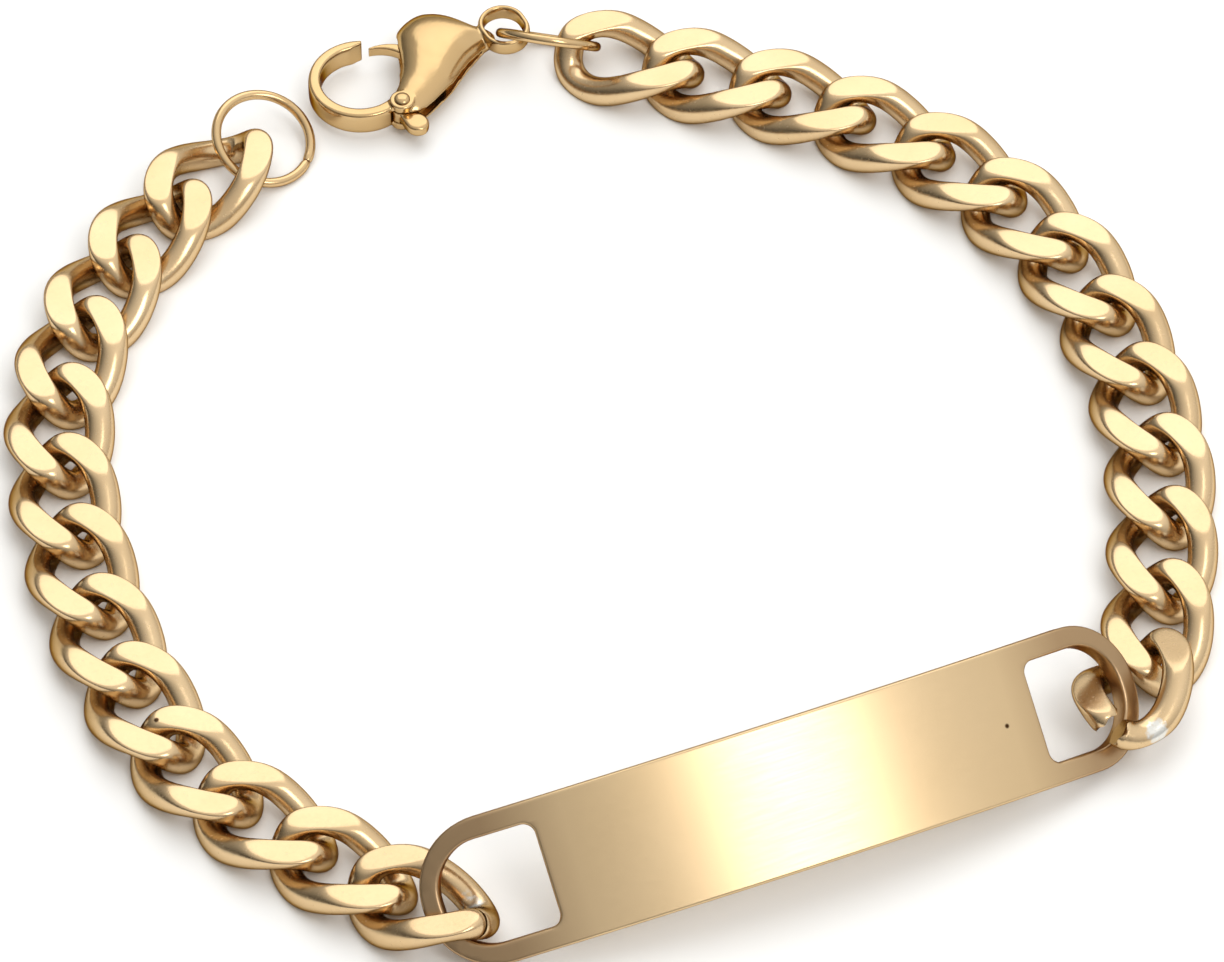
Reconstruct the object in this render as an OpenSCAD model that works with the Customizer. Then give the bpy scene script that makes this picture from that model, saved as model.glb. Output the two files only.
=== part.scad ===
// A curb-chain identity bracelet, unfastened and lying in an open loop.
// +X runs to the right along the loop, +Y runs away from the plate's side, +Z is up.
// The origin is under the middle of the loop's box, on the surface that it lies on.

/* [Chain] */
// Length of one curb link over its two noses
link_len = 10.55; // [10.5:0.05:10.7]
// Width of one curb link
link_w = 7.4; // [7.35:0.05:7.5]
// Diameter of the wire that the links are bent from
wire_d = 2; // [1.8:0.05:2]
// Height of a link between its polished flats
link_h = 2.9; // [2.8:0.05:3.2]
// Twist of a link at each nose, in degrees
link_twist = 48; // [46:1:52]
// Pitch of the links as the chain lies, a little slack
pitch = 6.22; // [6.21:0.01:6.24]
// Gap between the cut ends of the opened link at the plate's right
seam_gap = 1.1; // [0.6:0.1:1.6]

/* [Plate] */
// Length of the plate along its arch
plate_len = 51.1; // [50.8:0.1:51.3]
// Width of the plate
plate_w = 9.6; // [9.5:0.05:9.8]
// Thickness of the plate's sheet
plate_t = 1.3; // [1.2:0.05:1.4]
// Radius of the arch over the plate's outer face
plate_arch_r = 58; // [57:0.5:60]
// Width of the bar that closes each cutout at the plate's end
end_bar = 1.25; // [1.15:0.05:1.35]
// Width of the bars on both sides of each cutout
side_bar = 1.4; // [1.35:0.05:1.45]
// Length of each cutout
cutout_len = 7.1; // [7:0.05:7.2]

/* [Rings] */
// Outer diameter of the end ring and of the clasp's jump ring
ring_d = 7.3; // [7.1:0.1:7.3]
// Wire diameter of both rings
ring_wire = 0.65; // [0.6:0.05:0.65]

/* [Clasp] */
// Height of the hook's flat band
hook_h = 1.8; // [1.6:0.1:2]
// Radius of the hook's opening
hook_r = 2.7; // [2.6:0.05:2.8]
// Width of the hook's band
hook_band = 0.95; // [0.8:0.05:1.1]
// Thickness of the clasp's domed body
dome_h = 3.3; // [3.2:0.1:3.6]
// Thickness of the lever's plate
lever_t = 0.9; // [0.8:0.05:0.95]
// Diameter of the rivet that the lever turns on
rivet_d = 0.9; // [0.8:0.05:1]

/* [Hidden] */
// Places on the floor, from the middle of the loop's box
plate_at = [12.44, -31.68, 7.4];
// The plate's heading, and how far it is rolled towards the open side of the loop
plate_heading = 22.2;
plate_roll = 38;
// Joint between the plate and the first link of each chain
left_start = [-9.16, -38.61];
right_start = [34.44, -22.71];
// Heading of each link, in degrees, outward from the plate to the chain's free end
left_headings = [146, 146, 143, 131, 118, 111, 105, 100, 91, 78, 66, 56, 49];
right_headings = [81, 84, 86, 92, 101, 109, 118, 129, 140, 149, 158, 163, 165];
chain_count = 13;
// How the link that passes through the plate is shifted and tipped at each side
left_shift = [-0.12, 0.24, 0.67];
left_tip = [-2.13, 7.96, 5.47];
right_shift = [-0.95, 0.18, 1.23];
right_tip = [-14.19, 10.97, -12.75];
// How far the opened link is sprung wider than the others
sprung = 1.04;
end_ring_at = [-23.51, 29.28];
end_ring_tilt = 22.8;
end_ring_rise = 139;
clasp_ring_at = [-4.12, 37.4];
clasp_ring_tilt = 47;
clasp_ring_rise = 258.6;
clasp_at = [-16.96, 34.09];
clasp_heading = 28;

// Links
link_a = (link_len - wire_d) / 2;
link_b = (link_w - wire_d) / 2;
link_squareness = 2.4;
link_steps = 16;
wire_sides = 6;
seam_t = asin(pow(seam_gap / 2 / link_b, link_squareness / 2));

// How far a cutting shape runs past what it cuts, and how much extra a cut trims away
past = 1;
trim = 0.2;

// Plate
sheet_angle = (plate_len + 2 * past) / plate_arch_r * 180 / PI;
corner_r = 4.7;
cutout_r_end = 3.2;
cutout_r_face = 0.8;
cutout_half = plate_w / 2 - side_bar;
cutout_from = plate_len / 2 - end_bar - cutout_len;

// Clasp, in its own frame: the hook's centre is at the origin and the eye lies along +X
mid_z = dome_h / 2;
hook_tip = 62;
hook_root = 300;
pivot = [1.5, -3.3];
pivot_r = 0.95;
pivot_h = 2.3;
lever_centre = [1.7, -0.3];
lever_r = 3;
lever_w = 1.2;
gate_w = 0.8;
gate_reach = 5.95;
gate_clear = 0.12;
side_clear = 0.1;
bore_clear = 0.05;
tab_at = [1.8, -5.1];
tab_r = 0.7;
eye_at = [10.9, -0.3];
eye_mid_z = 2.1;
eye_hole_r = 1.27;
eye_wall = 0.42;
eye_stretch = 0.24;
eye_h = 1.2;
rivet_head_r = 0.75;
rivet_head_h = 0.22;

left_names = [for (n = [1 : chain_count]) str("link_l", n < 10 ? "0" : "", n)];
right_names = [for (n = [1 : chain_count]) str("link_r", n < 10 ? "0" : "", n)];

function unit(v) = v / norm(v);

// A rounded oval: an ellipse whose sides are a little straighter
function bow(v) = sign(v) * pow(abs(v), 2 / link_squareness);

// Middle line of a link's wire, flat oval first and then twisted about its long axis
function link_mid(t) =
    let (x = link_a * bow(cos(t)), y = link_b * bow(sin(t)), roll = -link_twist * x / link_a)
    [x, y * cos(roll), y * sin(roll)];

// Six-sided ring of wire at t, cut off where the polished flats are
function link_ring(t) =
    let (
        mid = link_mid(t),
        along = unit(link_mid(t + 1) - link_mid(t - 1)),
        roll = -link_twist * bow(cos(t)),
        side = unit(cross(along, [0, -sin(roll), cos(roll)])),
        up = cross(side, along)
    )
    [for (k = [0 : wire_sides - 1])
        let (
            turn = 360 * k / wire_sides,
            p = mid + wire_d / 2 * (cos(turn) * side + sin(turn) * up)
        )
        [p.x, p.y, min(max(p.z, -link_h / 2), link_h / 2) + link_h / 2]
    ];

// Two triangles for each side of the wire between ring a and ring b
function band(a, b) = [for (k = [0 : wire_sides - 1])
    let (next = (k + 1) % wire_sides)
    each [
        [a * wire_sides + k, a * wire_sides + next, b * wire_sides + next],
        [a * wire_sides + k, b * wire_sides + next, b * wire_sides + k]
    ]
];

module closed_link() {
    points = [for (i = [0 : link_steps - 1]) each link_ring(360 * (i + 0.5) / link_steps)];
    faces = [for (i = [0 : link_steps - 1]) each band(i, (i + 1) % link_steps)];
    polyhedron(points, faces);
}

// The same link with its seam sprung open at the nose on the plate's side
module open_link() {
    from = 180 + seam_t;
    sweep = 360 - 2 * seam_t;
    last = link_steps * wire_sides;
    points = [for (i = [0 : link_steps]) each link_ring(from + sweep * i / link_steps)];
    faces = concat(
        [for (i = [0 : link_steps - 1]) each band(i, i + 1)],
        [[for (k = [wire_sides - 1 : -1 : 0]) k]],
        [[for (k = [0 : wire_sides - 1]) last + k]]
    );
    polyhedron(points, faces);
}

// Joint number n of a chain, counted from the plate
function joint(start, headings, n) =
    n == 0 ? start
    : joint(start, headings, n - 1) + pitch * [cos(headings[n - 1]), sin(headings[n - 1])];

// Puts its children at a link's place, flat on the floor unless shifted and tipped
module at_link(start, headings, n, shift = [0, 0, 0], tip = [0, 0, 0]) {
    middle = (joint(start, headings, n) + joint(start, headings, n + 1)) / 2;
    translate([middle.x, middle.y, link_h / 2] + shift)
        rotate([tip.x, tip.y, tip.z + headings[n]])
            translate([0, 0, -link_h / 2]) children();
}

module left_link(n) {
    color("gold")
        if (n == chain_count) at_link(left_start, left_headings, 0, left_shift, left_tip) closed_link();
        else at_link(left_start, left_headings, chain_count - n) closed_link();
}

module right_link(n) {
    color("gold")
        if (n == chain_count)
            at_link(right_start, right_headings, 0, right_shift, right_tip) scale([1, sprung, 1]) open_link();
        else at_link(right_start, right_headings, chain_count - n) closed_link();
}

// Puts its children on the arch at s along it, with +Z square to the sheet
module at_arc(s) {
    translate([0, 0, -plate_arch_r])
        rotate([0, s / plate_arch_r * 180 / PI, 0])
            translate([0, 0, plate_arch_r]) children();
}

// Half of a rounded outline from x0 out to x1, with corner radius r at x1
module rounded_end(x0, x1, half, r) {
    translate([x0, -half]) square([x1 - r - x0, 2 * half]);
    translate([x0, -half + r]) square([x1 - x0, 2 * (half - r)]);
    for (side = [-1, 1]) translate([x1 - r, side * (half - r)]) circle(r = r, $fn = 48);
}

// Cutout of one end: wide corners towards the end and small ones towards the face
module cutout() {
    middle = (cutout_from + cutout_len / 2);
    rounded_end(middle, cutout_from + cutout_len, cutout_half, cutout_r_end);
    translate([2 * middle, 0]) mirror([1, 0])
        rounded_end(middle, 2 * middle - cutout_from, cutout_half, cutout_r_face);
}

// What is cut off around the plate's round corners, which meet its long edges at a slight angle
module end_trim() {
    difference() {
        translate([plate_len / 2 - corner_r, -plate_w]) square([corner_r + 3 * past, 2 * plate_w]);
        rounded_end(plate_len / 2 - corner_r - past, plate_len / 2, plate_w / 2 + 0.02, corner_r);
    }
}

module id_plate() {
    s_end = cutout_from + cutout_len / 2;
    color("goldenrod") translate(plate_at) rotate([plate_roll, 0, plate_heading])
        difference() {
            translate([0, 0, -plate_arch_r]) rotate([90, 0, 0])
                rotate([0, 0, 90 - sheet_angle / 2])
                    rotate_extrude(angle = sheet_angle, $fn = 180)
                        translate([plate_arch_r - plate_t, -plate_w / 2]) square([plate_t, plate_w]);
            for (end = [0, 1]) mirror([end, 0, 0]) at_arc(s_end)
                translate([-s_end, 0, -plate_t - past]) linear_extrude(plate_t + 2 * past) {
                    cutout();
                    end_trim();
                }
        }
}

// A ring of round wire that leans up towards the direction "rise" and touches the floor
module leaning_ring(at, tilt, rise) {
    mid_r = (ring_d - ring_wire) / 2;
    translate([at.x, at.y, mid_r * sin(tilt) + ring_wire / 2])
        rotate([0, 0, rise]) rotate([0, -tilt, 0])
            rotate_extrude($fn = 72) translate([mid_r, 0]) circle(d = ring_wire, $fn = 24);
}

module end_ring() {
    color("gold") leaning_ring(end_ring_at, end_ring_tilt, end_ring_rise);
}

module clasp_ring() {
    color("gold") leaning_ring(clasp_ring_at, clasp_ring_tilt, clasp_ring_rise);
}

module at_clasp() {
    translate([clasp_at.x, clasp_at.y, 0]) rotate([0, 0, clasp_heading]) children();
}

module at_pivot() {
    translate([pivot.x, pivot.y, mid_z]) children();
}

// Part of a flat ring about the origin, from one angle to the other, h high about mid_z
module arc_band(r_in, r_out, from, to, h) {
    translate([0, 0, mid_z - h / 2]) rotate([0, 0, from])
        rotate_extrude(angle = to - from, $fn = 96) translate([r_in, 0]) square([r_out - r_in, h]);
}

module lobe(at, r, half_h) {
    translate([at.x, at.y, mid_z]) scale([r, r, half_h]) sphere(1, $fn = 24);
}

// The teardrop dome of the clasp
module dome() {
    hull() {
        lobe([5.9, 1.8], 2.3, mid_z);
        lobe([4.2, -2.2], 1.6, mid_z * 0.85);
        lobe([9.1, -0.1], 0.9, mid_z * 0.6);
        lobe([2, -2.9], 1, mid_z * 0.75);
    }
}

module clasp_body() {
    color("gold") at_clasp() difference() {
        union() {
            difference() {
                union() {
                    arc_band(hook_r - trim, hook_r + hook_band, hook_tip, hook_root, hook_h);
                    dome();
                    at_pivot() cylinder(r = pivot_r, h = pivot_h + trim, center = true, $fn = 48);
                }
                translate([0, 0, -past]) cylinder(r = hook_r, h = dome_h + 2 * past, $fn = 96);
            }
            translate([0, 0, eye_mid_z - eye_h / 2])
                linear_extrude(eye_h) eye_outline(eye_hole_r + eye_wall);
        }
        translate([0, 0, -past]) linear_extrude(dome_h + 2 * past) eye_outline(eye_hole_r);
        lever_pocket();
        at_pivot() cylinder(d = rivet_d + 2 * bore_clear, h = dome_h + past, center = true, $fn = 48);
        rivet_seats();
        gate_relief();
    }
}

// The eye is a little longer across the clasp than along it
module eye_outline(r) {
    translate([eye_at.x - r, eye_at.y - eye_stretch]) square([2 * r, 2 * eye_stretch]);
    for (side = [-1, 1]) translate([eye_at.x, eye_at.y + side * eye_stretch]) circle(r = r, $fn = 64);
}

// Slot between the two shells of the dome, which the lever turns in
module lever_pocket() {
    h = lever_t + 2 * side_clear;
    pocket_r = lever_r + lever_w / 2 + 0.5;
    translate([lever_centre.x, lever_centre.y, mid_z]) cylinder(r = pocket_r, h = h, center = true, $fn = 96);
    at_pivot() cylinder(r = pivot_r + 0.3, h = h, center = true, $fn = 48);
}

// Flat seats above and below the hub for the rivet's heads
module rivet_seats() {
    for (side = [-1, 1]) at_pivot() translate([0, 0, side * (pivot_h / 2 + past / 2)])
        cylinder(r = pivot_r + side_clear, h = past, center = true, $fn = 48);
}

// Step inside the hook's tip that the end of the gate tucks behind
module gate_relief() {
    intersection() {
        at_pivot() cylinder(r = gate_reach + gate_clear, h = dome_h, center = true, $fn = 128);
        translate([0, 1.5, 0]) cube([3, 3, dome_h]);
    }
}

module clasp_lever() {
    color("gold") at_clasp() difference() {
        union() {
            at_pivot() cylinder(r = pivot_r - 0.1, h = lever_t, center = true, $fn = 48);
            intersection() {
                translate([lever_centre.x, lever_centre.y, 0])
                    arc_band(lever_r - lever_w / 2, lever_r + gate_w / 2, -94, 76, lever_t);
                at_pivot() cylinder(r = gate_reach, h = dome_h, center = true, $fn = 128);
            }
            tab();
        }
        at_pivot() cylinder(d = rivet_d + 2 * bore_clear, h = dome_h, center = true, $fn = 48);
    }
}

// Thumb tab that stands out of the clasp's side
module tab() {
    reach = tab_at - pivot;
    at_pivot() rotate([0, 0, atan2(reach.y, reach.x)]) translate([0, -tab_r, -lever_t / 2])
        cube([norm(reach), 2 * tab_r, lever_t]);
    translate([tab_at.x, tab_at.y, mid_z]) cylinder(r = tab_r, h = lever_t, center = true, $fn = 48);
}

module clasp_rivet() {
    color("khaki") at_clasp() at_pivot() {
        cylinder(d = rivet_d, h = pivot_h + 2 * rivet_head_h, center = true, $fn = 48);
        for (side = [-1, 1]) translate([0, 0, side * (pivot_h / 2 + rivet_head_h / 2 + 0.02)])
            cylinder(r = rivet_head_r, h = rivet_head_h, center = true, $fn = 48);
    }
}

id_plate();
end_ring();
clasp_ring();
clasp_body();
clasp_lever();
clasp_rivet();
for (n = [1 : chain_count]) left_link(n);
for (n = [1 : chain_count]) right_link(n);
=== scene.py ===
import math

import bmesh
import bpy
import numpy as np
from mathutils import Euler, Matrix, Vector


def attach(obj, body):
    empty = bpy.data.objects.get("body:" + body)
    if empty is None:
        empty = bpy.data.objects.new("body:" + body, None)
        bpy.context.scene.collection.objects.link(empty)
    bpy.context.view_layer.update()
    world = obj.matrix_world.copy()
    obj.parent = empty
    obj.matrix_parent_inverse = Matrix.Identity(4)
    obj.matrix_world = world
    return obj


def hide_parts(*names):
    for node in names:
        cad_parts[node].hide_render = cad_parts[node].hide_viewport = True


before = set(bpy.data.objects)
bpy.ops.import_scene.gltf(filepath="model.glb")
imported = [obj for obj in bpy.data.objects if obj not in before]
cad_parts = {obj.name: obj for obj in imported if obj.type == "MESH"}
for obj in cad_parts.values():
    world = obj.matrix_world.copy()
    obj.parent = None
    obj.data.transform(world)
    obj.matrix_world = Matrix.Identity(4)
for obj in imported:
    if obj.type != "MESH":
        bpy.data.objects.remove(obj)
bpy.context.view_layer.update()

# Curb chain: twenty-six links of round stainless steel wire, wound to an oval, hooked
# through each other, twisted and soldered shut. The finished chain is rolled and filed
# level, which leaves a flat on top and below, then tumble polished and gold plated.
MM = 0.001
LINK_LEN, LINK_W, LINK_H = 10.55, 7.4, 2.9
WIRE_R, WIRE_SIDES, FLAT_EDGE = 1, 44, 0.1
PITCH, CHAIN_COUNT = 6.22, 13

# The middle line of the wire is an oval with full corners, where a squareness of 2 would
# be an ellipse. The twist is how far each end of the link is turned, in degrees.
MID_A, MID_B = (LINK_LEN - 2 * WIRE_R) / 2, (LINK_W - 2 * WIRE_R) / 2
SQUARENESS, TWIST = 2.4, 48

# Each chain from the plate outwards: where it starts, and the heading of each link. The
# first link is shifted and tipped to pass through the plate's window, and its seam is
# open: on the left by a hair crack, and on the right so far that the link is sprung wider.
LEFT = {
    "name": "link_l",
    "start": (-9.16, -38.61),
    "headings": [146, 146, 143, 131, 118, 111, 105, 100, 91, 78, 66, 56, 49],
    "shift": (-0.12, 0.24, 0.67),
    "tip": (-2.13, 7.96, 5.47),
    "seam": {"at_deg": 171, "half_deg": 1.3, "wider": 1, "ragged": 0.02},
}
RIGHT = {
    "name": "link_r",
    "start": (34.44, -22.71),
    "headings": [81, 84, 86, 92, 101, 109, 118, 129, 140, 149, 158, 163, 165],
    "shift": (-0.95, 0.18, 1.23),
    "tip": (-14.19, 10.97, -12.75),
    "seam": {"at_deg": 180, "half_deg": 8.55, "wider": 1.04, "ragged": 0.1},
}
PITS = [(-33.1, -17, 1.65), (-29.1, -22.3, 2.9)]
SOLDER = [(-8.9, -36.9, 2.5), (35.4, -23.6, 3.3)]

# A noise pattern lies mostly between these, which each use maps to a range of its own
NOISE_SPAN = {"From Min": 0.3, "From Max": 0.7}


def colour(code):
    parts = [int(code[i : i + 2], 16) / 255 for i in (1, 3, 5)]
    linear = [c / 12.92 if c <= 0.04045 else ((c + 0.055) / 1.055) ** 2.4 for c in parts]
    return (*linear, 1)


# Adds a node; a setting that is a socket of another node becomes a link
def add(tree, kind, inputs, **settings):
    node = tree.nodes.new(kind)
    for key, value in settings.items():
        setattr(node, key, value)
    for key, value in inputs.items():
        if isinstance(value, bpy.types.NodeSocket):
            tree.links.new(value, node.inputs[key])
        else:
            node.inputs[key].default_value = value
    return node


# A dark pit, where the plating didn't take: bare inside a radius, and faded 0.1 mm on
def pitted(tree, where, plating, at, bare_r):
    faded_r = bare_r + 0.1
    away = add(
        tree,
        "ShaderNodeVectorMath",
        {0: where, 1: Vector(at) * MM},
        operation="DISTANCE",
    )
    bare = add(
        tree,
        "ShaderNodeMapRange",
        {
            "Value": away.outputs["Value"],
            "From Min": bare_r * MM,
            "From Max": faded_r * MM,
            "To Min": 1,
            "To Max": 0,
        },
    )
    return add(
        tree,
        "ShaderNodeMix",
        {"Factor": bare.outputs["Result"], "A": plating, "B": colour("#4a3420")},
        data_type="RGBA",
    ).outputs["Result"]


# Gold-plated stainless steel, tumble polished: a soft warm mirror that goes brown where
# links reflect each other, with a dark rim at a glancing angle. The plating drifts a
# little in depth over 6 mm. Tumbling leaves nicks of 0.05 mm, too fine to show, so they
# are drawn 0.25 mm across and very shallow. The left chain has two pits of 0.3 mm.
tumbled = bpy.data.materials.new("gold_plate_tumbled_wire")
tumbled.use_nodes = True
tree = tumbled.node_tree
shader = tree.nodes["Principled BSDF"]
shader.inputs["Metallic"].default_value = 1
shader.inputs["Specular Tint"].default_value = colour("#6b4a2a")
where = add(tree, "ShaderNodeTexCoord", {}).outputs["Object"]
drift = add(
    tree,
    "ShaderNodeTexNoise",
    {"Vector": where, "Scale": 1 / (6 * MM), "Detail": 3},
)
tone = add(
    tree,
    "ShaderNodeMix",
    {"Factor": drift.outputs["Fac"], "A": colour("#e6cba2"), "B": colour("#d4b384")},
    data_type="RGBA",
)
plating = tone.outputs["Result"]
for pit in PITS:
    plating = pitted(tree, where, plating, pit, bare_r=0.12)
nicks = add(
    tree,
    "ShaderNodeTexNoise",
    {"Vector": where, "Scale": 1 / (0.25 * MM), "Detail": 4},
)
polish = add(
    tree,
    "ShaderNodeMapRange",
    {"Value": nicks.outputs["Fac"], **NOISE_SPAN, "To Min": 0.2, "To Max": 0.28},
)
relief = add(
    tree,
    "ShaderNodeBump",
    {"Height": nicks.outputs["Fac"], "Strength": 0.12, "Distance": 0.02 * MM},
)
tree.links.new(plating, shader.inputs["Base Color"])
tree.links.new(polish.outputs["Result"], shader.inputs["Roughness"])
tree.links.new(relief.outputs["Normal"], shader.inputs["Normal"])

# The link of each chain that holds the plate was closed by hand. Its silver solder took
# no plating, and shows as a pale patch, 0.6 to 1.3 mm from its middle to its uneven edge.
soldered = tumbled.copy()
soldered.name = "gold_plate_with_silver_solder"
tree = soldered.node_tree
shader = tree.nodes["Principled BSDF"]
plating = shader.inputs["Base Color"].links[0].from_socket
where = add(tree, "ShaderNodeTexCoord", {}).outputs["Object"]
uneven = add(
    tree,
    "ShaderNodeTexNoise",
    {"Vector": where, "Scale": 1 / (0.5 * MM), "Detail": 3},
)
edge = add(
    tree,
    "ShaderNodeMapRange",
    {
        "Value": uneven.outputs["Fac"],
        **NOISE_SPAN,
        "To Min": 0.6 * MM,
        "To Max": 1.3 * MM,
    },
)
for seam in SOLDER:
    away = add(
        tree,
        "ShaderNodeVectorMath",
        {0: where, 1: Vector(seam) * MM},
        operation="DISTANCE",
    )
    inside = add(
        tree,
        "ShaderNodeMath",
        {0: edge.outputs["Result"], 1: away.outputs["Value"]},
        operation="SUBTRACT",
    )
    patch = add(
        tree,
        "ShaderNodeMapRange",
        {"Value": inside.outputs["Value"], "From Min": 0, "From Max": 0.4 * MM},
    )
    plating = add(
        tree,
        "ShaderNodeMix",
        {"Factor": patch.outputs["Result"], "A": plating, "B": colour("#e4e2da")},
        data_type="RGBA",
    ).outputs["Result"]
tree.links.new(plating, shader.inputs["Base Color"])


def fine_piece(name, verts, faces, sharp_deg=None):
    mesh = bpy.data.meshes.new(name)
    mesh.from_pydata([tuple(v) for v in verts], [], faces)
    mesh.update()
    obj = bpy.data.objects.new(name, mesh)
    bpy.context.scene.collection.objects.link(obj)
    mesh.shade_smooth()
    if sharp_deg:
        mesh.set_sharp_from_angle(angle=math.radians(sharp_deg))
    return obj


# Faces of a bar through rings of points: joined round, or capped at its two ends
def bar_faces(count, sides, loop=False):
    faces = []
    for i in range(count if loop else count - 1):
        for k in range(sides):
            a, b = i * sides, (i + 1) % count * sides
            n = (k + 1) % sides
            faces.append((a + k, a + n, b + n, b + k))
    if not loop:
        faces.append(tuple(range(sides - 1, -1, -1)))
        faces.append(tuple((count - 1) * sides + k for k in range(sides)))
    return faces


def place(obj, matrix, body, node, material):
    obj.data.transform(matrix)
    obj.data.materials.append(material)
    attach(obj, body)
    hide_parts(node)


# A sine or cosine made fuller, which gives the oval its full corners
def fuller(v):
    return math.copysign(abs(v) ** (2 / SQUARENESS), v)


def link_mid(t):
    x, y = MID_A * fuller(math.cos(t)), MID_B * fuller(math.sin(t))
    roll = -math.radians(TWIST) * x / MID_A
    return np.array([x, y * math.cos(roll), y * math.sin(roll)])


# Filing leaves the flats level, and tumbling rounds their edges
def filed(z):
    half = LINK_H / 2
    over = (abs(z) - half) / FLAT_EDGE
    eased = min(over, 0) - math.log1p(math.exp(-abs(over)))
    return math.copysign(half + FLAT_EDGE * eased, z)


# The wire's section at an angle round the link, square to the wire
def link_ring(t, radius=WIRE_R):
    mid = link_mid(t)
    step = math.radians(1)
    along = link_mid(t + step) - link_mid(t - step)
    along /= np.linalg.norm(along)
    roll = -math.radians(TWIST) * fuller(math.cos(t))
    side = np.cross(along, [0, -math.sin(roll), math.cos(roll)])
    side /= np.linalg.norm(side)
    up = np.cross(side, along)
    ring = []
    for k in range(WIRE_SIDES):
        turn = 2 * math.pi * k / WIRE_SIDES
        p = mid + radius * (math.cos(turn) * side + math.sin(turn) * up)
        p[2] = filed(p[2])
        ring.append(p)
    return ring


def closed_link():
    steps = 168
    rings = [link_ring(2 * math.pi * (i + 0.5) / steps) for i in range(steps)]
    return [p for ring in rings for p in ring], bar_faces(steps, WIRE_SIDES, loop=True)


# A link with an open seam: cut through its wire at an angle on its round, and open by
# half an angle to each side. The cut faces are ragged and a little smaller than the wire.
def cut_link(at_deg, half_deg, wider, ragged):
    steps, face_size, nibs = 160, 0.93, 5
    first, sweep = math.radians(at_deg + half_deg), math.radians(360 - 2 * half_deg)
    verts = []
    for i in range(steps + 1):
        cut = i in (0, steps)
        ring = link_ring(first + sweep * i / steps, WIRE_R * face_size if cut else WIRE_R)
        if cut:
            out = np.cross(ring[WIRE_SIDES // 4] - ring[0], ring[WIRE_SIDES // 2] - ring[0])
            out /= np.linalg.norm(out)
            for k in range(WIRE_SIDES):
                wave = math.sin(nibs * k * 2 * math.pi / WIRE_SIDES + i)
                ring[k] = ring[k] + out * ragged * wave
        verts += ring
    for p in verts:
        p[1] *= wider
    return verts, bar_faces(steps + 1, WIRE_SIDES)


def one_pitch(heading):
    turn = math.radians(heading)
    return PITCH * np.array([math.cos(turn), math.sin(turn)])


# A link's middle is half a pitch on from the links before it
def link_place(chain, n):
    *before, heading = chain["headings"][: n + 1]
    middle = np.array(chain["start"], float)
    for earlier in before:
        middle = middle + one_pitch(earlier)
    middle = middle + one_pitch(heading) / 2
    flat = (0, 0, 0)
    shift, tip = (flat, flat) if n else (chain["shift"], chain["tip"])
    where = Vector((middle[0] + shift[0], middle[1] + shift[1], LINK_H / 2 + shift[2]))
    turn = Euler([math.radians(a) for a in (tip[0], tip[1], tip[2] + heading)], "XYZ")
    return Matrix.Scale(MM, 4) @ Matrix.LocRotScale(where, turn, None)


shut_link = closed_link()
for chain in (LEFT, RIGHT):
    for n in range(CHAIN_COUNT):
        node = f"{chain['name']}{CHAIN_COUNT - n:02d}"
        verts, faces = shut_link if n else cut_link(**chain["seam"])
        link = fine_piece(f"{node}_fine", verts, faces, sharp_deg=40)
        finish = tumbled if n else soldered
        place(link, link_place(chain, n), "bracelet", node, finish)

# Identity plate: a strip of stainless steel sheet, stamped with its two windows, arched
# to the wrist and satin finished before plating. The first link of each chain passes
# through a window, so nothing else holds it.
PLATE_LEN, PLATE_W, PLATE_T, ARCH_R = 51.1, 9.6, 1.3, 58
PLATE_AT, PLATE_ROLL, PLATE_HEADING = (12.44, -31.68, 7.4), 38, 22.2
CORNER_R, EDGE_R, END_BAR, SIDE_BAR = 4.7, 0.2, 1.25, 1.4
WINDOW_LEN, WINDOW_R_OUT, WINDOW_R_IN = 7.1, 3.2, 0.8
BEND_STEP = 0.6
LINE_W, LINE_LEN = 0.15, 3
SPECK = (25.49, -25.19, 5.88)
plate_turn = Euler((math.radians(PLATE_ROLL), 0, math.radians(PLATE_HEADING)), "XYZ")

# Gold-plated stainless steel with a satin finish: a broad soft glow and no mirror image.
# The satin lines run lengthwise, 0.03 mm apart; they are drawn 0.15 mm apart and 3 mm
# long so that they show at all. The plating is a little browner than on the chain, and
# drifts over 12 mm. The pattern is laid in the plate's own directions.
satin = bpy.data.materials.new("gold_plate_satin_sheet")
satin.use_nodes = True
tree = satin.node_tree
shader = tree.nodes["Principled BSDF"]
shader.inputs["Metallic"].default_value = 1
shader.inputs["Specular Tint"].default_value = colour("#7a5836")
where = add(tree, "ShaderNodeTexCoord", {}).outputs["Object"]
level = add(
    tree,
    "ShaderNodeMapping",
    {"Vector": where, "Location": Vector(PLATE_AT) * MM, "Rotation": plate_turn},
    vector_type="TEXTURE",
).outputs["Vector"]
drift = add(
    tree,
    "ShaderNodeTexNoise",
    {"Vector": level, "Scale": 1 / (12 * MM), "Detail": 2},
)
tone = add(
    tree,
    "ShaderNodeMix",
    {"Factor": drift.outputs["Fac"], "A": colour("#e0c59c"), "B": colour("#d6b98c")},
    data_type="RGBA",
)
# Painted shade: the ends of the plate are painted browner, standing in for the shade where
# the arch turns them from the light, from 15 mm off the middle, and from 20 mm it is 0.7 of
# the way to brown
spread = add(tree, "ShaderNodeVectorMath", {0: level}, operation="ABSOLUTE")
along = add(tree, "ShaderNodeSeparateXYZ", {"Vector": spread.outputs["Vector"]})
painted_end_shade = add(
    tree,
    "ShaderNodeMapRange",
    {
        "Value": along.outputs["X"],
        "From Min": 15 * MM,
        "From Max": 20 * MM,
        "To Min": 0,
        "To Max": 0.7,
    },
)
# The mix towards brown at the ends is painted shade
tone = add(
    tree,
    "ShaderNodeMix",
    {"Factor": painted_end_shade.outputs["Result"], "A": tone.outputs["Result"], "B": colour("#a38260")},
    data_type="RGBA",
)
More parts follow.
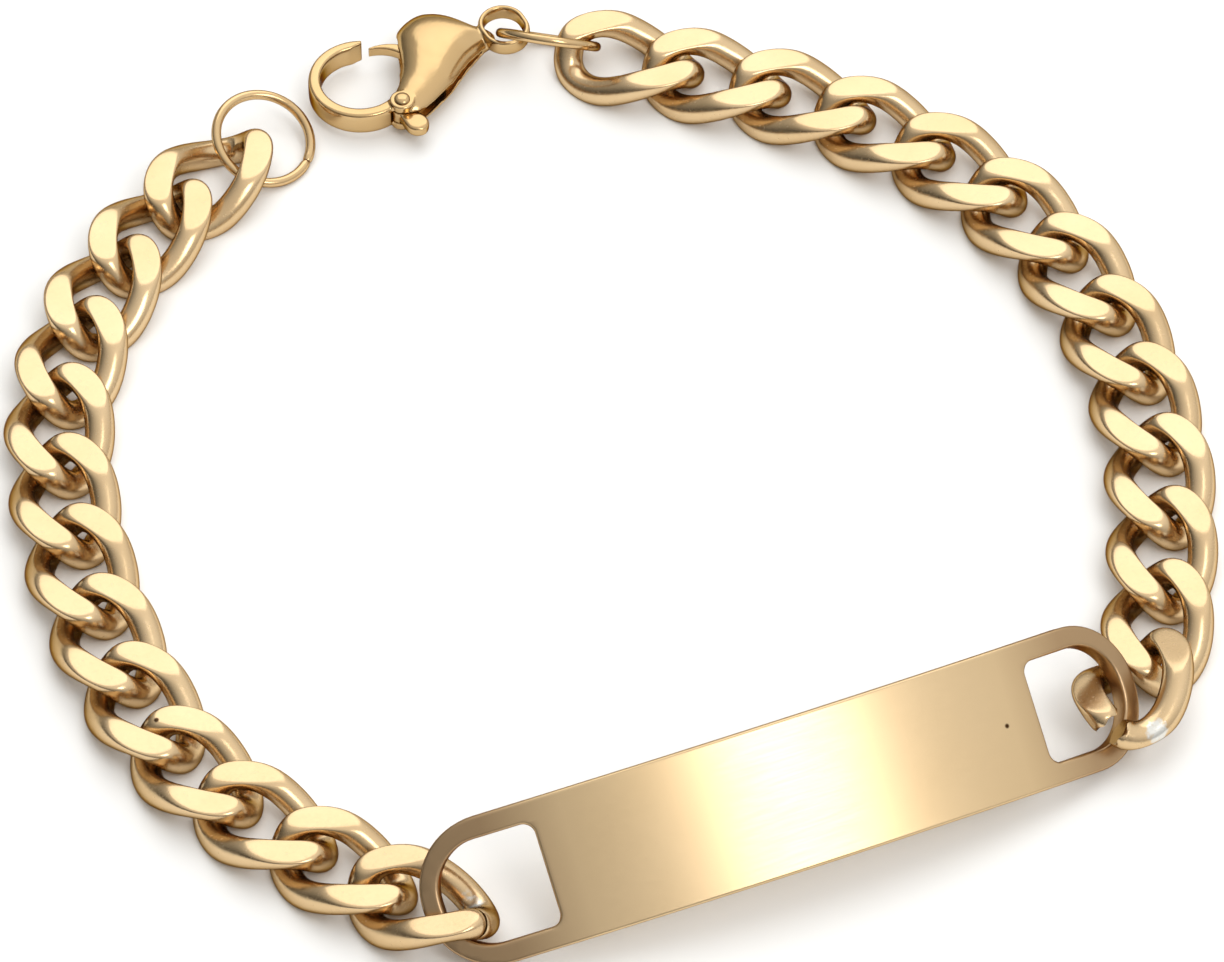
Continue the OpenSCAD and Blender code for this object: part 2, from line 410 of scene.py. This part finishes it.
# One dark speck near the right window, like the pits of the chain
plating = pitted(tree, where, tone.outputs["Result"], SPECK, bare_r=0.1)
drawn_out = add(
    tree,
    "ShaderNodeMapping",
    {"Vector": level, "Scale": (LINE_W / LINE_LEN, 1, 1)},
)
lines = add(
    tree,
    "ShaderNodeTexNoise",
    {"Vector": drawn_out.outputs["Vector"], "Scale": 1 / (LINE_W * MM), "Detail": 1},
)
polish = add(
    tree,
    "ShaderNodeMapRange",
    {"Value": lines.outputs["Fac"], **NOISE_SPAN, "To Min": 0.28, "To Max": 0.32},
)
relief = add(
    tree,
    "ShaderNodeBump",
    {"Height": lines.outputs["Fac"], "Strength": 0.05, "Distance": 0.02 * MM},
)
tree.links.new(plating, shader.inputs["Base Color"])
tree.links.new(polish.outputs["Result"], shader.inputs["Roughness"])
tree.links.new(relief.outputs["Normal"], shader.inputs["Normal"])


def corner(cx, cy, r, start, count=16):
    turns = [math.radians(start + 90 * i / count) for i in range(count + 1)]
    return [(cx + r * math.cos(a), cy + r * math.sin(a)) for a in turns]


# An outline with one radius at the corners of its left end, and one at its right
def rounded_box(x0, x1, half, r0, r1):
    return (
        corner(x1 - r1, half - r1, r1, 0)
        + corner(x0 + r0, half - r0, r0, 90)
        + corner(x0 + r0, -half + r0, r0, 180)
        + corner(x1 - r1, -half + r1, r1, 270)
    )


# The stamped outline gets rounded edges while it is flat, and is then bent on the arch
def id_plate():
    end = PLATE_LEN / 2
    window_out = end - END_BAR
    window_in = window_out - WINDOW_LEN
    half = PLATE_W / 2 - SIDE_BAR
    outlines = [
        rounded_box(-end, end, PLATE_W / 2, CORNER_R, CORNER_R),
        rounded_box(window_in, window_out, half, WINDOW_R_IN, WINDOW_R_OUT),
        rounded_box(-window_out, -window_in, half, WINDOW_R_OUT, WINDOW_R_IN),
    ]
    flat = bpy.data.curves.new("plate_outline", "CURVE")
    flat.dimensions = "2D"
    flat.fill_mode = "BOTH"
    flat.extrude = PLATE_T / 2 - EDGE_R
    flat.bevel_depth = EDGE_R
    flat.bevel_resolution = 3
    flat.offset = -EDGE_R
    for points in outlines:
        spline = flat.splines.new("POLY")
        spline.points.add(len(points) - 1)
        for target, p in zip(spline.points, points):
            target.co = (p[0], p[1], 0, 1)
        spline.use_cyclic_u = True
    holder = bpy.data.objects.new("plate_outline", flat)
    bpy.context.scene.collection.objects.link(holder)
    graph = bpy.context.evaluated_depsgraph_get()
    mesh = bpy.data.meshes.new_from_object(holder.evaluated_get(graph))
    bpy.data.objects.remove(holder)
    bm = bmesh.new()
    bm.from_mesh(mesh)
    bmesh.ops.remove_doubles(bm, verts=bm.verts, dist=1e-4)
    cuts = int(end / BEND_STEP)
    for i in range(-cuts, cuts + 1):
        bmesh.ops.bisect_plane(
            bm,
            geom=bm.verts[:] + bm.edges[:] + bm.faces[:],
            plane_co=(i * BEND_STEP, 0, 0),
            plane_no=(1, 0, 0),
            dist=1e-5,
        )
    for v in bm.verts:
        s, y, z = v.co
        r, a = ARCH_R + z - PLATE_T / 2, s / ARCH_R
        v.co = (r * math.sin(a), y, r * math.cos(a) - ARCH_R)
    bmesh.ops.recalc_face_normals(bm, faces=bm.faces)
    bm.to_mesh(mesh)
    bm.free()
    mesh.shade_smooth()
    mesh.set_sharp_from_angle(angle=math.radians(35))
    obj = bpy.data.objects.new("id_plate_fine", mesh)
    bpy.context.scene.collection.objects.link(obj)
    return obj


plate_place = Matrix.Scale(MM, 4) @ Matrix.LocRotScale(Vector(PLATE_AT), plate_turn, None)
place(id_plate(), plate_place, "bracelet", "id_plate", satin)

# Rings: thin round stainless steel wire, bent round a mandrel and butted at a fine seam.
# The end ring is what the clasp closes on; the jump ring joins the clasp to the chain.
RING_D, RING_WIRE_D = 7.3, 0.65
RING_MID_R, RING_WIRE_R = (RING_D - RING_WIRE_D) / 2, 0.335
SEAM_HALF_DEG = 0.7

# Gold-plated drawn wire, left as drawn and bright: a thin even mirror with faint draw
# lines along it. Those are 0.01 mm apart, so they are drawn as 0.2 mm blotches of polish.
# The plating drifts over 3 mm.
drawn_wire = bpy.data.materials.new("gold_plate_drawn_wire")
drawn_wire.use_nodes = True
tree = drawn_wire.node_tree
shader = tree.nodes["Principled BSDF"]
shader.inputs["Metallic"].default_value = 1
shader.inputs["Specular Tint"].default_value = colour("#6b4a2a")
where = add(tree, "ShaderNodeTexCoord", {}).outputs["Object"]
drift = add(
    tree,
    "ShaderNodeTexNoise",
    {"Vector": where, "Scale": 1 / (3 * MM), "Detail": 2},
)
tone = add(
    tree,
    "ShaderNodeMix",
    {"Factor": drift.outputs["Fac"], "A": colour("#e2c496"), "B": colour("#cfab78")},
    data_type="RGBA",
)
blotch = add(
    tree,
    "ShaderNodeTexNoise",
    {"Vector": where, "Scale": 1 / (0.2 * MM), "Detail": 3},
)
polish = add(
    tree,
    "ShaderNodeMapRange",
    {"Value": blotch.outputs["Fac"], **NOISE_SPAN, "To Min": 0.14, "To Max": 0.24},
)
relief = add(
    tree,
    "ShaderNodeBump",
    {"Height": blotch.outputs["Fac"], "Strength": 0.1, "Distance": 0.01 * MM},
)
tree.links.new(tone.outputs["Result"], shader.inputs["Base Color"])
tree.links.new(polish.outputs["Result"], shader.inputs["Roughness"])
tree.links.new(relief.outputs["Normal"], shader.inputs["Normal"])


# A ring lies tilted, with its far side up in the direction that it rises to. Its wire
# narrows in the last two steps before the seam.
def wire_ring(node, at, tilt, rise, seam_deg):
    sides, steps, sweep = 20, 120, 360 - 2 * SEAM_HALF_DEG
    narrowed = {0: 0.8, 1: 0.97}
    verts = []
    for i in range(steps + 1):
        a = math.radians(seam_deg + SEAM_HALF_DEG + sweep * i / steps)
        r = RING_WIRE_R * narrowed.get(min(i, steps - i), 1)
        for k in range(sides):
            turn = 2 * math.pi * k / sides
            out = RING_MID_R + r * math.cos(turn)
            verts.append((out * math.cos(a), out * math.sin(a), r * math.sin(turn)))
    faces = [face[::-1] for face in bar_faces(steps + 1, sides)]
    obj = fine_piece(f"{node}_fine", verts, faces, sharp_deg=50)
    lift = RING_MID_R * math.sin(math.radians(tilt)) + RING_WIRE_R
    tilted = Matrix.Rotation(math.radians(-tilt), 4, "Y")
    turn = Matrix.Rotation(math.radians(rise), 4, "Z") @ tilted
    ring_place = Matrix.Scale(MM, 4) @ Matrix.Translation((*at, lift)) @ turn
    place(obj, ring_place, "bracelet", node, drawn_wire)


wire_ring("end_ring", at=(-23.51, 29.28), tilt=22.8, rise=139, seam_deg=200)
wire_ring("clasp_ring", at=(-4.12, 37.4), tilt=47, rise=258.6, seam_deg=100)

# Lobster clasp body: hook, shell and eye are one investment casting in stainless steel,
# slotted on one side for the gate, tumbled smooth with the chain and plated.
CLASP_AT, CLASP_HEADING = (-16.96, 34.09), 28
clasp_place = (
    Matrix.Scale(MM, 4)
    @ Matrix.Translation((*CLASP_AT, 0))
    @ Matrix.Rotation(math.radians(CLASP_HEADING), 4, "Z")
)
# On the clasp, places are given from the middle of its hook, with the eye along x
MID_Z, EYE_Z = 1.65, 2.1
PIVOT, GATE_AT, ROOM_AT, EYE_AT = (1.5, -3.3), (1.7, -0.3), (1.8, -3.5), (10.9, -0.3)
HOOK_R, OPENING_R, EYE_R = 3.17, 2.68, 1.48
POCKET_R, STEP_R, ROOM_R = 2.5, 5.5, 1.25
HUB_R, HUB_HALF_H, ROOM_HALF_H = 0.85, 1.12, 0.52

# The dome is a teardrop that leans to one side. Its stations run on a line from its root
# at the eye to the rivet. Each row gives the station, how far its middle stands off the
# line, the half width across the line, and the half height.
DOME_ROOT, ACROSS = (9.9, -0.3), (-0.355, 0.935)
DOME_ROWS = [
    (-0.3, 0.1, 0.2, 0.2),
    (-0.1, 0.35, 0.6, 0.55),
    (0.4, 0.8, 1.3, 0.85),
    (1, 1.8, 2.2, 1.2),
    (1.9, 2.25, 2.75, 1.5),
    (3, 2.3, 2.95, 1.65),
    (4.2, 2.05, 3.0, 1.62),
    (5, 1.6, 2.75, 1.54),
    (5.7, 1.15, 2.4, 1.45),
    (6.7, 0.6, 1.95, 1.3),
    (7.7, 0.3, 1.7, 1.18),
    (8.6, 0.1, 1.4, 1.05),
    (9.3, 0.05, 0.9, 0.8),
    (9.6, 0.05, 0.4, 0.4),
]
# The slot cuts through the shell's side by the thumb tab, and narrows towards the eye
SLOT_ROWS = [
    (1.3, -0.3, 0.2, 0.12),
    (2.2, -0.4, 0.6, 0.24),
    (3.4, -0.7, 0.9, 0.34),
    (5, -1.1, 1, 0.42),
    (7, -1.35, 1.1, 0.47),
    (8.6, -1.4, 1.3, 0.5),
    (9.8, -1.3, 1.3, 0.5),
]

# Gold-plated casting, tumble polished: as bright as the chain, with soft highlights, as a
# cast skin keeps faint waves of 0.5 mm after polishing. The plating drifts over 5 mm.
cast = bpy.data.materials.new("gold_plate_polished_casting")
cast.use_nodes = True
tree = cast.node_tree
shader = tree.nodes["Principled BSDF"]
shader.inputs["Metallic"].default_value = 1
shader.inputs["Specular Tint"].default_value = colour("#6b4a2a")
where = add(tree, "ShaderNodeTexCoord", {}).outputs["Object"]
drift = add(
    tree,
    "ShaderNodeTexNoise",
    {"Vector": where, "Scale": 1 / (5 * MM), "Detail": 3},
)
tone = add(
    tree,
    "ShaderNodeMix",
    {"Factor": drift.outputs["Fac"], "A": colour("#d8ba8b"), "B": colour("#c6a36f")},
    data_type="RGBA",
)
skin = add(
    tree,
    "ShaderNodeTexNoise",
    {"Vector": where, "Scale": 1 / (0.5 * MM), "Detail": 3},
)
polish = add(
    tree,
    "ShaderNodeMapRange",
    {"Value": skin.outputs["Fac"], **NOISE_SPAN, "To Min": 0.17, "To Max": 0.22},
)
relief = add(
    tree,
    "ShaderNodeBump",
    {"Height": skin.outputs["Fac"], "Strength": 0.06, "Distance": 0.02 * MM},
)
tree.links.new(tone.outputs["Result"], shader.inputs["Base Color"])
tree.links.new(polish.outputs["Result"], shader.inputs["Roughness"])
tree.links.new(relief.outputs["Normal"], shader.inputs["Normal"])


# A rounded bar along a path, where each row is x, y, half width and half height. A power
# of 2 gives an oval section, and more a squarer one. The width is square to the path,
# unless a direction across it is given.
def clasp_bar(name, rows, mid_z=MID_Z, power=4, sides=24, loop=False, across=None):
    verts = []
    count = len(rows)
    for i, (x, y, half_w, half_h) in enumerate(rows):
        before = rows[(i - 1) % count] if loop or i else rows[i]
        after = rows[(i + 1) % count] if loop or i < count - 1 else rows[i]
        dx, dy = after[0] - before[0], after[1] - before[1]
        length = math.hypot(dx, dy)
        nx, ny = across or (dy / length, -dx / length)
        for k in range(sides):
            a = 2 * math.pi * k / sides
            c, s = math.cos(a), math.sin(a)
            w = half_w * math.copysign(abs(c) ** (2 / power), c)
            h = half_h * math.copysign(abs(s) ** (2 / power), s)
            verts.append((x + nx * w, y + ny * w, mid_z + h))
    return fine_piece(name, verts, bar_faces(count, sides, loop))


def clasp_disc(name, at, r, low_z, high_z, sides=64):
    turns = [2 * math.pi * k / sides for k in range(sides)]
    rim = [(at[0] + r * math.cos(a), at[1] + r * math.sin(a)) for a in turns]
    verts = [(x, y, z) for z in (low_z, high_z) for x, y in rim]
    return fine_piece(name, verts, bar_faces(2, sides))


# Rows on an arc. Its half width is a function of how far along the row is, from 0 to 1.
def arc_rows(middle, r, start, stop, half_w, half_h, count=60):
    rows = []
    for i in range(count + 1):
        f = i / count
        a = math.radians(start + (stop - start) * f)
        x, y = middle[0] + r * math.cos(a), middle[1] + r * math.sin(a)
        rows.append((x, y, half_w(f), half_h))
    return rows


# Rows in between, on a smooth curve through the given ones
def smooth_rows(rows, count):
    rows = np.array(rows, float)
    rows = np.vstack([2 * rows[0] - rows[1], rows, 2 * rows[-1] - rows[-2]])
    out = []
    for i in range(1, len(rows) - 2):
        a, b, c, d = rows[i - 1 : i + 3]
        for k in range(count):
            f = k / count
            bend = 2 * a - 5 * b + 4 * c - d + f * (3 * (b - c) + d - a)
            out.append(b + 0.5 * f * (c - a + f * bend))
    return out + [rows[-2]]


# Rows round the eye, whose two halves are drawn apart by a short straight
def eye_rows(straight, half_w, half_h, count=64):
    rows = []
    for i in range(count):
        a = 2 * math.pi * i / count
        y = EYE_R * math.sin(a) + math.copysign(straight, math.sin(a))
        rows.append((EYE_AT[0] + EYE_R * math.cos(a), EYE_AT[1] + y, half_w, half_h))
    return rows


# Rows of the dome or its slot, turned from their leaning line to the clasp's x and y
def leaning(rows):
    (x, y), (cx, cy) = DOME_ROOT, ACROSS
    return [(x - cy * u + cx * v, y + cx * u + cy * v, w, h) for u, v, w, h in rows]


def outward(obj):
    bm = bmesh.new()
    bm.from_mesh(obj.data)
    bmesh.ops.recalc_face_normals(bm, faces=bm.faces)
    bm.to_mesh(obj.data)
    bm.free()


# Lumps are joined and cut, then remeshed and smoothed so that they flow like a casting
def cast_piece(name, solids, cutters, voxel, smooth):
    whole = solids[0]
    for obj in solids + cutters:
        outward(obj)
    for kind, group in (("UNION", solids[1:]), ("DIFFERENCE", cutters)):
        for obj in group:
            cut = whole.modifiers.new(obj.name, "BOOLEAN")
            cut.object = obj
            cut.operation = kind
            cut.solver = "EXACT"
    remesh = whole.modifiers.new("cast", "REMESH")
    remesh.mode = "VOXEL"
    remesh.voxel_size = voxel
    soften = whole.modifiers.new("soften", "SMOOTH")
    soften.factor = 0.5
    soften.iterations = smooth
    graph = bpy.context.evaluated_depsgraph_get()
    mesh = bpy.data.meshes.new_from_object(whole.evaluated_get(graph))
    whole.modifiers.clear()
    whole.data = mesh
    for obj in solids[1:] + cutters:
        bpy.data.objects.remove(obj)
    whole.name = name
    whole.data.shade_smooth()
    return whole


# The hook is a little wider at its root than at its tip
dome_rows = leaning(smooth_rows(DOME_ROWS, 6))
hook_rows = arc_rows(
    (0, 0), HOOK_R, start=62, stop=302, half_w=lambda f: 0.4 + 0.08 * f, half_h=0.9
)
round_rows = eye_rows(straight=0.24, half_w=0.21, half_h=0.6)
solids = [
    clasp_bar("dome", dome_rows, power=2, sides=48, across=ACROSS),
    clasp_disc("hub", PIVOT, HUB_R, MID_Z - HUB_HALF_H, MID_Z + HUB_HALF_H),
    clasp_bar("hook", hook_rows, power=5),
    clasp_bar("eye", round_rows, mid_z=EYE_Z, power=3, loop=True),
]

# The hook's opening is cut right through. The gate's pocket, the slot and the room about
# the lever's hub are cut inside the shell. The relief step thins the inside of the hook's
# tip, so that the end of the gate can swing past it.
pocket_rows = arc_rows(
    GATE_AT, POCKET_R, start=-100, stop=60, half_w=lambda f: 1.6, half_h=0.53
)
slot_rows = leaning(smooth_rows(SLOT_ROWS, 6))
step_rows = arc_rows(PIVOT, STEP_R, start=78, stop=108, half_w=lambda f: 0.62, half_h=2)
cutters = [
    clasp_disc("opening", (0, 0), OPENING_R, low_z=-1, high_z=5, sides=128),
    clasp_bar("pocket", pocket_rows, power=8),
    clasp_bar("slot", slot_rows, power=6, across=ACROSS),
    clasp_disc("room", ROOM_AT, ROOM_R, MID_Z - ROOM_HALF_H, MID_Z + ROOM_HALF_H),
    clasp_bar("relief_step", step_rows, power=12),
]
body = cast_piece("clasp_body_fine", solids, cutters, voxel=0.08, smooth=4)
place(body, clasp_place, "bracelet", "clasp_body", cast)

# Gate: a small cast lever with a thumb tab, which a spring inside the shell holds shut.
# It turns on the rivet. A real one closes on the tip of the hook, and this one stops
# about 0.5 mm short of it.
GATE_R, GATE_HALF_W, LEVER_HUB_HALF_H = 2.86, 0.45, 0.45
# The thumb tab from the rivet outwards: x, y, half width and half height
TAB_ROWS = [
    (1.5, -3.3, 0.6, 0.44),
    (1.6, -4.1, 0.65, 0.44),
    (1.8, -5, 0.8, 0.44),
    (1.88, -5.5, 0.6, 0.42),
    (1.92, -5.78, 0.2, 0.3),
]


# The arm tapers over the last three tenths of its arc
def gate_half_w(f):
    return GATE_HALF_W * min(1, 0.14 + (1 - f) * 3)


gate_rows = arc_rows(GATE_AT, GATE_R, start=-94, stop=86, half_w=gate_half_w, half_h=0.42)
lever_parts = [
    clasp_bar("gate", gate_rows, power=5),
    clasp_disc("lever_hub", PIVOT, HUB_R, MID_Z - LEVER_HUB_HALF_H, MID_Z + LEVER_HUB_HALF_H),
    clasp_bar("tab", smooth_rows(TAB_ROWS, 5)),
]
lever = cast_piece("clasp_lever_fine", lever_parts, [], voxel=0.06, smooth=3)
place(lever, clasp_place, "lever", "clasp_lever", cast)

# Rivet: a short pin of the same steel, peened over to a low dome at both ends, which
# holds the gate in the slot of the clasp.
RIVET_SIDES = 40
# Radius and height above the middle, from the middle to the top of the upper dome
RIVET_HALF = [
    (0.45, 0),
    (0.45, 1.1),
    (0.52, 1.12),
    (0.54, 1.18),
    (0.5, 1.26),
    (0.4, 1.33),
    (0.22, 1.38),
    (0.02, 1.39),
]
profile = [(r, -z) for r, z in RIVET_HALF[:0:-1]] + RIVET_HALF
turns = [2 * math.pi * k / RIVET_SIDES for k in range(RIVET_SIDES)]
verts = [
    (PIVOT[0] + r * math.cos(a), PIVOT[1] + r * math.sin(a), MID_Z + z)
    for r, z in profile
    for a in turns
]
faces = bar_faces(len(profile), RIVET_SIDES)
rivet = fine_piece("clasp_rivet_fine", verts, faces, sharp_deg=40)
outward(rivet)
place(rivet, clasp_place, "bracelet", "clasp_rivet", cast)

# Studio: a sheet of matt white board on a table, which the bracelet lies on.
# It is plain, so its only finish is the flat white of the board.
BOARD_SIZE, BOARD_DROP = 3, 0.00002
bpy.ops.mesh.primitive_plane_add(size=BOARD_SIZE, location=(0, 0, -BOARD_DROP))
floor = bpy.context.object
floor.name = "floor"
board = bpy.data.materials.new("white_board")
board.use_nodes = True
shader = board.node_tree.nodes["Principled BSDF"]
shader.inputs["Base Color"].default_value = colour("#f6f6f4")
shader.inputs["Roughness"].default_value = 0.9
shader.inputs["Specular IOR Level"].default_value = 0.1
floor.data.materials.append(board)

# Light: two softboxes above, one behind the bracelet for the flats of the links and one
# in front for the plate, in a dim tent that is lighter above and to the right.
BOX_DISTANCE = 0.8
WATTS_PER_M2 = 4


# In Blender, four watts for each square metre of a box give it a radiance of 1
def softbox(name, direction, distance, size, radiance):
    light = bpy.data.lights.new(name, "AREA")
    light.shape = "RECTANGLE"
    light.size, light.size_y = size
    light.energy = radiance * WATTS_PER_M2 * size[0] * size[1]
    obj = bpy.data.objects.new(name, light)
    bpy.context.scene.collection.objects.link(obj)
    way = Vector(direction).normalized()
    obj.location = way * distance
    obj.rotation_euler = (-way).to_track_quat("-Z", "Y").to_euler()
    return obj


softbox("front_box", (0.425, -0.49, 0.76), BOX_DISTANCE, size=(0.26, 0.4), radiance=3)
softbox("back_box", (0, 0.72, 0.69), BOX_DISTANCE, size=(0.7, 0.65), radiance=0.75)

# A large fill straight above whitens the board; it is flagged off from the metal, as a
# photographer does, so that it leaves no patch of its own in the gold
fill = softbox("fill_above", (0, 0.1, 1), distance=1.2, size=(1, 1), radiance=1.1)
fill.visible_glossy = False

# The tent is brightest above and to the right, and darkest low on the left
world = bpy.data.worlds.new("studio")
bpy.context.scene.world = world
world.use_nodes = True
tree = world.node_tree
way = add(tree, "ShaderNodeTexCoord", {}).outputs["Generated"]
slope = add(
    tree,
    "ShaderNodeVectorMath",
    {0: way, 1: (0.35, 0.17, 0.7)},
    operation="DOT_PRODUCT",
)
tent = add(
    tree,
    "ShaderNodeMapRange",
    {
        "Value": slope.outputs["Value"],
        "From Min": -0.2,
        "From Max": 0.8,
        "To Min": 0.08,
        "To Max": 1.08,
    },
)
tree.links.new(tent.outputs["Result"], tree.nodes["Background"].inputs["Color"])
bpy.context.scene.view_settings.view_transform = "Standard"

# Camera: it looks down at 50 degrees from 0.6 m, at the middle of the photo's frame,
# through a long lens, so that the far side of the loop is drawn nearly as large.
ELEVATION, DISTANCE = math.radians(50), 0.6
target = Vector((0.24, 0.19, 0)) * MM
camera_data = bpy.data.cameras.new("camera")
camera_data.sensor_width = 36
camera_data.lens = 266.5
camera_data.clip_start = 0.01
camera = bpy.data.objects.new("camera", camera_data)
bpy.context.scene.collection.objects.link(camera)
camera.location = target + Vector((0, -math.cos(ELEVATION), math.sin(ELEVATION))) * DISTANCE
camera.rotation_euler = (math.pi / 2 - ELEVATION, 0, 0)
bpy.context.scene.camera = camera
